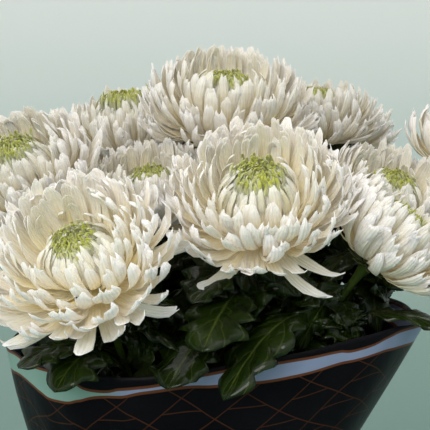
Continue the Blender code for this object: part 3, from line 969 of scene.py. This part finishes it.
angles = -math.pi / 2 + 2 * math.pi * np.arange(FILM_COLUMNS) / FILM_COLUMNS
shares = np.linspace(0, 1, FILM_ROWS + 1)
reach = np.empty((FILM_ROWS + 1, FILM_COLUMNS))
height = np.empty_like(reach)
for row, share in enumerate(shares):
    for column, angle in enumerate(angles):
        guess = reach[row - 1, column] if row else FIRST_GUESS
        for _ in range(2):
            spot = np.array((1, jar_middle.x + guess * math.cos(angle), jar_middle.y + guess * math.sin(angle)))
            low, high = sleeve_low.z + FOOT_INSET, rim_slope @ spot - RIM_INSET
            guess = film_reach(angle, low + share * (high - low))
        reach[row, column], height[row, column] = guess, low + share * (high - low)


def round_mean(values, width):
    """The mean over the neighbours in a ring, with a soft window."""
    window = np.hanning(2 * width + 3)[1:-1]
    shifted = [np.roll(values, k - width, axis=1) * weight for k, weight in enumerate(window)]
    return sum(shifted) / window.sum()


reach = round_mean(reach, SMOOTH_COLUMNS)
print("film: reach at the rim", round(reach[-1].min(), 3), "to", round(reach[-1].max(), 3))

# %% [markdown]
# The rim isn't a plane curve. It dips and rises by several millimetres, which the knots below give by direction,
# in degrees from the right-hand side. One front corner flares, both seams stand up as fine ridges, and one side
# has a soft belly. The belly starts above the jar's neck, because the film lies against the glass there.

# %% Creases and the rim's wave
RIM_KNOTS = (
    (-180, -2), (-170, 2), (-160, 8), (-150, 9), (-140, 5.5), (-130, 5.5), (-120, 2), (-110, -1), (-100, -0.5),
    (-80, 3), (-60, 7), (-50, 9), (-40, 13), (-30, 17), (-20, 12), (-10, 6), (0, 0), (40, -1), (90, 2), (130, -3),
    (180, -2),
)
CREASES = ((3, 2.4, 0.4), (5, 1.6, 2.1), (9, 1.0, 4.0), (14, 0.7, 1.3), (23, 0.35, 0.2))
CREASE_LEAN = 1.5
RIM_SMOOTH = 3
FLARE_TURN = math.radians(-127)
FLARES = ((0.007, FLARE_TURN, 0.16), (-0.004, FLARE_TURN + 0.30, 0.15))
SEAMS = ((0.0012, 0.0, 0.012), (0.0012, math.pi, 0.012))
BELLY = ((0.008, math.radians(-165), 0.45),)
NECK_SHARE = 0.2


def within_half_turn(turn):
    """A direction in radians, brought between minus half a turn and half a turn."""
    return (turn + math.pi) % (2 * math.pi) - math.pi


def bumps(rows):
    """Bumps round the film; each row is a height in metres, a direction and a width."""
    return sum(size * np.exp(-((within_half_turn(angles - middle) / width) ** 2)) for size, middle, width in rows)


climb = shares[:, None]
crease = sum(size * 0.001 * np.sin(count * angles + phase + CREASE_LEAN * climb) for count, size, phase in CREASES)
above_neck = np.clip((climb - NECK_SHARE) / (1 - NECK_SHARE), 0, 1)
reach = reach + climb**2 * crease + climb**4 * bumps(FLARES) + bumps(SEAMS)
reach = reach + np.sin(math.pi * above_neck) * bumps(BELLY)
rim_turns, rim_lift = zip(*RIM_KNOTS)
lift = 0.001 * np.interp(np.degrees(within_half_turn(angles)), rim_turns, rim_lift)
height = height + round_mean(lift[None], RIM_SMOOTH) * climb**3
print("film: reach at the creased rim", round(reach[-1].min(), 3), "to", round(reach[-1].max(), 3))

# %% Wrap the film
film_x = jar_middle.x + reach * np.cos(angles)
film_y = jar_middle.y + reach * np.sin(angles)
film_points = np.stack((film_x, film_y, height), axis=-1)
closed_points = np.concatenate((film_points, film_points[:, :1]), axis=1)
arc = np.linalg.norm(np.diff(closed_points, axis=1), axis=2)
slant = np.linalg.norm(np.diff(film_points, axis=0), axis=2)
below_rim = slant[::-1].cumsum(axis=0)[::-1]
below_rim = np.concatenate((below_rim, np.zeros((1, FILM_COLUMNS))))
below_rim = np.concatenate((below_rim, below_rim[:, :1]), axis=1)
run = np.concatenate((np.zeros((FILM_ROWS + 1, 1)), arc.cumsum(axis=1)), axis=1)


def sheet_run(row, column, sheet):
    """The distance along a row from the middle of its sheet: sheet 0 is the front one, 1 the back one."""
    line = run[row]
    if sheet == 0:
        return line[column] - (line[-1] if column > FILM_COLUMNS / 2 else 0)
    return line[column] - line[FILM_COLUMNS // 2]


def wrap_film():
    """The film's mesh, and the area of one side of it."""
    bm = bmesh.new()
    bmesh.ops.create_grid(bm, x_segments=FILM_COLUMNS, y_segments=FILM_ROWS, size=1, calc_uvs=False)
    uv = bm.loops.layers.uv.new("UVMap")
    spots = {
        vert: (round((vert.co.y + 1) / 2 * FILM_ROWS), round((vert.co.x + 1) / 2 * FILM_COLUMNS))
        for vert in bm.verts
    }
    for face in bm.faces:
        middle = sum(spots[v][1] for v in face.verts) / 4
        sheet = 0 if middle < FILM_COLUMNS / 4 or middle > FILM_COLUMNS * 3 / 4 else 1
        for loop in face.loops:
            row, column = spots[loop.vert]
            loop[uv].uv = (sheet_run(row, column, sheet), below_rim[row, column])
    for vert, (row, column) in spots.items():
        vert.co = closed_points[row, column]
    bmesh.ops.remove_doubles(bm, verts=bm.verts, dist=1e-6)
    bmesh.ops.recalc_face_normals(bm, faces=bm.faces)
    face = next(iter(bm.faces))
    if face.normal.dot(face.calc_center_median() - jar_middle) < 0:
        bmesh.ops.reverse_faces(bm, faces=bm.faces)
    flat_area = sum(f.calc_area() for f in bm.faces)
    bmesh.ops.solidify(bm, geom=bm.faces[:], thickness=FILM_THICKNESS)
    return finished_mesh("printed_film", bm), flat_area


film_mesh, film_area = wrap_film()

# %% [markdown]
# The print is black, with a band of clear film between two copper lines a little below the rim, and a net of fine
# copper lines under it. The band's colour is painted: its pale blue is a painted reflection of the surround, and
# its mint at the front left is the pale green backdrop seen through it. The print is drawn in metres on the flat
# sheet, so its scale is the same all over the film: the UV map holds the distance from the middle of each sheet,
# and the distance below the rim.

# %% The print's measures
BAND_KNOTS = (
    (-0.300, 6, 20), (-0.190, 3, 19), (-0.153, 3, 19), (-0.125, 3, 19.5), (-0.105, 3.5, 24), (-0.090, 3.5, 28),
    (-0.073, 9, 24), (-0.059, 13.5, 18.5), (-0.042, 9.5, 15.5), (-0.011, 7, 11.5), (0.023, 4.5, 14.5),
    (0.060, 5, 18), (0.095, 6.5, 18.5), (0.111, 8, 18.5), (0.125, 11, 20), (0.148, 8, 20), (0.172, 3.5, 18.5),
    (0.250, 3, 18), (0.300, 6, 20),
)
# The band's colours are painted: a pale blue reflection of the surround, and the green backdrop seen through the
# clear band at the front left.
BAND_BACKDROP_MINT = (0.23, 0.37, 0.32)
BAND_REFLECTED_BLUE = (0.25, 0.295, 0.44)
BAND_PAINTED_TINTS = ((0.12, BAND_REFLECTED_BLUE), (0.17, BAND_BACKDROP_MINT), (0.385, BAND_BACKDROP_MINT), (0.42, BAND_REFLECTED_BLUE))
DEEPEST = 40
COPPER_WIDTH = 0.0011
NET_WIDE = 0.045
NET_TALL = 0.036
NET_START = 0.008
NET_LINE = 0.0009
NET_LINK = 0.61
NET_SPACING = 0.028
LINK_SPACING = 0.018
LINE_EDGE = 0.15
print("band:", len(BAND_KNOTS), "knots; net:", f"{NET_WIDE * 1000:.0f} x {NET_TALL * 1000:.0f} mm diamonds")

# %% Lines on the film
film_look = Finish("printed_film", Roughness=0.34, Specular_IOR_Level=0.07)
film_across, film_down = film_look.uv()
band_run, *band_depths = zip(*BAND_KNOTS)
run_start, run_end = band_run[0], band_run[-1]
film_run = film_look.window(film_across, run_start, run_end)


def below_edge(depths):
    """The distance below a line on the film whose depth under the rim follows the knots, in millimetres."""
    curve = film_look.add("FloatCurve", Value=film_run)
    points = curve.mapping.curves[0].points
    while len(points) < len(depths):
        points.new(0.5, 0.5)
    for point, place, depth in zip(points, band_run, depths):
        point.location = ((place - run_start) / (run_end - run_start), depth / DEEPEST)
    curve.mapping.update()
    edge_depth = film_look.math("MULTIPLY", curve.outputs[0], DEEPEST * 0.001)
    return film_look.math("SUBTRACT", film_down, edge_depth)


def line_mask(gap, half_width):
    """1 where the gap is under half_width, and 0 a little outside it."""
    return film_look.window(
        film_look.math("ABSOLUTE", gap), half_width * (1 + LINE_EDGE), half_width * (1 - LINE_EDGE)
    )


def net_mask(value, spacing):
    """A thin line wherever the value is whole; one unit of it is a spacing on the film."""
    return line_mask(film_look.math("PINGPONG", value, 0.5), NET_LINE / 2 / spacing)


# %% The film's print
from_top, from_foot = map(below_edge, band_depths)
under_top = film_look.math("GREATER_THAN", from_top, 0.0)
in_band = film_look.math("MULTIPLY", under_top, film_look.math("LESS_THAN", from_foot, 0.0))
copper_edges = [line_mask(edge, COPPER_WIDTH) for edge in (from_top, from_foot)]
net_p = film_look.math("DIVIDE", film_across, NET_WIDE)
net_q = film_look.math("DIVIDE", film_look.math("SUBTRACT", from_foot, NET_START), NET_TALL)
net_s = film_look.math("FRACT", film_look.math("ADD", net_p, net_q))
net_t = film_look.math("FRACT", film_look.math("SUBTRACT", net_q, net_p))
link_gap = film_look.math("SUBTRACT", film_look.math("ADD", net_s, net_t), NET_LINK)
links = line_mask(link_gap, NET_LINE / 2 / LINK_SPACING)
diamonds = film_look.math("MAXIMUM", net_mask(net_s, NET_SPACING), net_mask(net_t, NET_SPACING))
net = film_look.math("MAXIMUM", links, diamonds)
net = film_look.math("MULTIPLY", net, film_look.math("GREATER_THAN", from_foot, 0.0))
# Painted reflection and backdrop: the band's blue, and its mint at the front left.
band_painted_tint = film_look.ramp(film_look.math("MULTIPLY_ADD", film_across, 2.0, 0.5), *BAND_PAINTED_TINTS)
film_black = film_look.mottled((0.0022, 0.0019, 0.0030), (0.0048, 0.0041, 0.0062), 14.0)
film_banded = film_look.mix(in_band, film_black, band_painted_tint)
film_netted = film_look.mix(net, film_banded, (0.050, 0.018, 0.009))
film_copper = film_look.math("MAXIMUM", *copper_edges)
film_look.set(Base_Color=film_look.mix(film_copper, film_netted, (0.125, 0.044, 0.020)))
film_look.bump(film_look.noise(26.0, 4.0, (1.0, 1.0, 0.35)), 0.25, 0.006)

film = place_piece("film_sleeve", film_mesh, film_look, "sleeve_film", "sleeve")
print("film finish:", len(film_look.tree.nodes), "nodes")

# %% [markdown]
# ## More leaves
#
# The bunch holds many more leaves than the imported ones, small enough and deep enough among the stems to need no
# solid of their own. Each stem carries about thirty, up its length and in a collar under its head, and together
# they close the mouth of the sleeve. A leaf is kept short of the film, and one that would cut it is left out.

# %% Fill leaves
FILL_HEIGHTS = np.linspace(0.335, 0.605, 40)
FILL_LENGTH = (0.060, 0.090)
HEAD_ROOM = 0.016
COLLAR_DROPS = np.linspace(0.024, 0.080, 9)
FREE_HEIGHT = 0.46
LOW_SPREAD, FREE_SPREAD = 0.9, 3.0
FILL_DROP = (-0.052, 0.006)
FILL_ARCH = (0.012, 0.030)
FILL_STALK = (0.14, 0.24)
FILL_WIDTH = (0.034, 0.050)
FILL_ROLL = 0.6
HEIGHT_ERROR = 0.012
RIM_CLEARANCE = 0.020
SHORTEST_REACH = 0.022
FILL_SEED = 7
FIRST_SEED = 100


def sleeve_room(direction, spot_height):
    """How far from the jar's axis a leaf may reach in a direction, at a height below the rim."""
    column = round((direction + math.pi / 2) / (2 * math.pi) * FILM_COLUMNS) % FILM_COLUMNS
    row = int(np.clip(np.searchsorted(height[:, column], spot_height), 0, FILM_ROWS))
    return reach[row, column] - RIM_CLEARANCE


def fill_leaf(rng, line, spot_height):
    """A leaf from a stem at a height, outwards at a random angle and kept inside the sleeve."""
    base = np.array([np.interp(spot_height, line[:, 2], line[:, axis]) for axis in range(3)])
    jar_axis = np.array(jar_middle.xy)
    outward = math.atan2(base[1] - jar_axis[1], base[0] - jar_axis[0])
    heading = outward + rng.normal(0, LOW_SPREAD if spot_height < FREE_HEIGHT else FREE_SPREAD)
    length = rng.uniform(*FILL_LENGTH)
    drop = rng.uniform(*FILL_DROP)
    tip = base + np.array((math.cos(heading) * length, math.sin(heading) * length, drop))
    offset = tip[:2] - jar_axis
    distance = np.linalg.norm(offset)
    room = sleeve_room(math.atan2(offset[1], offset[0]), min(tip[2], base[2]))
    if distance > room:
        tip[:2] = jar_axis + offset * room / distance
    crown = (base + tip) / 2 + (0, 0, rng.uniform(*FILL_ARCH))
    return {
        "base": base, "crown": crown, "tip": tip, "stalk": rng.uniform(*FILL_STALK),
        "width": rng.uniform(*FILL_WIDTH), "roll": rng.normal(0, FILL_ROLL),
    }


film_surface = surface_tree(film.data)
fill_rng = np.random.default_rng(FILL_SEED)
fill_count = 0
for number, line in stem_lines.items():
    line = np.concatenate((line, flowers[number]["foot"][None]))
    meshes = []
    for spot_height in (*FILL_HEIGHTS, *(line[-1, 2] - COLLAR_DROPS)):
        place_height = spot_height + fill_rng.uniform(-HEIGHT_ERROR, HEIGHT_ERROR)
        if place_height > line[-1, 2] - HEAD_ROOM:
            continue
        leaf = fill_leaf(fill_rng, line, place_height)
        if np.linalg.norm((leaf["tip"] - leaf["base"])[:2]) < SHORTEST_REACH:
            continue
        blade = leaf_mesh("fill", leaf, FIRST_SEED + fill_count)
        if film_surface.overlap(surface_tree(blade)):
            continue
        fill_count += 1
        meshes.append(blade)
    place_piece(f"fill_leaves_{number:02d}", joined("fill", meshes), leaf_look, "leaf")
print("fill leaves:", fill_count)

# %% [markdown]
# ## Glass, water and band
#
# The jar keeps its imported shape, merged and rounded. Glass is a shader with full transmission; the water is a
# body of its own that reaches a hair's breadth into the glass, because an air gap between them would show as a
# silver skin. The band is one long rubber ring wound four times round the stems.

# %% Jar
glass_look = Finish("clear_glass", Roughness=0.02, Transmission_Weight=1.0, IOR=1.46)
glass_look.set(Base_Color=glass_look.mottled((0.96, 0.985, 0.975), (0.93, 0.97, 0.955), 9.0))
glass_look.bump(glass_look.noise(18.0, 1.0), 0.08, 0.004)
jar = rounded_piece("glass_jar", "jar", glass_look, "glass_jar")
print("jar:", len(jar.data.polygons), "faces before rounding")

# %% Water
WATER_OVERLAP = 0.0006
WATER_HEEL = 0.007
HEEL_STEPS = 4
WATER_SIDES = 128
MENISCUS = 0.0016
MENISCUS_KNOTS = ((0.0, 1.0), (0.0012, 0.5), (0.0035, 0.1), (0.0070, 0.0))
water_look = Finish("water", Roughness=0.0, Transmission_Weight=1.0, IOR=1.333)
water_look.set(Base_Color=water_look.mottled((0.97, 0.99, 0.98), (0.95, 0.98, 0.96), 6.0))
water_low, water_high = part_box("water")
water_radius = (water_high.x - water_low.x) / 2 + WATER_OVERLAP
water_floor = water_low.z - WATER_OVERLAP
heel_middle = water_radius - WATER_HEEL
water_profile = [(0.0, water_floor), (heel_middle, water_floor)]
for step in range(1, HEEL_STEPS + 1):
    angle = math.pi / 2 * step / HEEL_STEPS
    radius = heel_middle + WATER_HEEL * math.sin(angle)
    water_profile.append((radius, water_floor + WATER_HEEL * (1 - math.cos(angle))))
for inset, share in MENISCUS_KNOTS:
    water_profile.append((water_radius - inset, water_high.z + share * MENISCUS))
water_profile.append((0.0, water_high.z))
water_bm = turned(water_profile, WATER_SIDES)
bmesh.ops.translate(water_bm, verts=water_bm.verts, vec=(jar_middle.x, jar_middle.y, 0))
place_piece("jar_water", finished_mesh("water", water_bm), water_look, "water", "water")
print(f"water: {water_radius * 1000:.1f} mm radius, {(water_high.z - water_floor) * 1000:.0f} mm deep")

# %% Rubber band
BAND_TURNS = 4
BAND_THICKNESS = 0.0011
BAND_SIDES = 10
BAND_STEPS = 96
BAND_TILT = math.radians(2.2)
band_look = Finish("rubber_band", Roughness=0.55)
band_look.set(Base_Color=band_look.mottled((0.30, 0.21, 0.10), (0.22, 0.14, 0.06), 160.0))
band_low, band_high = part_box("stem_tie")
band_middle = box_middle("stem_tie")
band_radius = (band_high.x - band_low.x) / 2 - BAND_THICKNESS
band_room = band_high.z - band_low.z - 4 * BAND_THICKNESS
band_section = Matrix.Translation((band_radius, 0, 0)) @ Matrix.Rotation(math.pi / 2, 4, "X")
band_bm = bmesh.new()
for place in range(BAND_TURNS):
    loop = bmesh.ops.create_circle(band_bm, segments=BAND_SIDES, radius=BAND_THICKNESS)["verts"]
    edges = list({edge for vert in loop for edge in vert.link_edges})
    bmesh.ops.transform(band_bm, matrix=band_section, verts=loop)
    bmesh.ops.spin(
        band_bm, geom=loop + edges, cent=(0, 0, 0), axis=(0, 0, 1), angle=2 * math.pi, steps=BAND_STEPS,
        use_merge=True,
    )
    ring = band_bm.verts[:][place * BAND_SIDES * BAND_STEPS:]
    rise = band_low.z + 2 * BAND_THICKNESS + band_room * place / (BAND_TURNS - 1)
    tilt = Matrix.Rotation((-1) ** place * BAND_TILT, 4, "Y" if place % 2 else "X")
    lifted = Matrix.Translation((band_middle.x, band_middle.y, rise))
    bmesh.ops.transform(band_bm, matrix=lifted @ tilt, verts=ring)
bmesh.ops.remove_doubles(band_bm, verts=band_bm.verts, dist=1e-6)
bmesh.ops.recalc_face_normals(band_bm, faces=band_bm.faces)
band = place_piece("wound_band", finished_mesh("wound_band", band_bm), band_look, "band_rubber", "stem_tie")
print("band:", len(band.data.polygons), "faces")
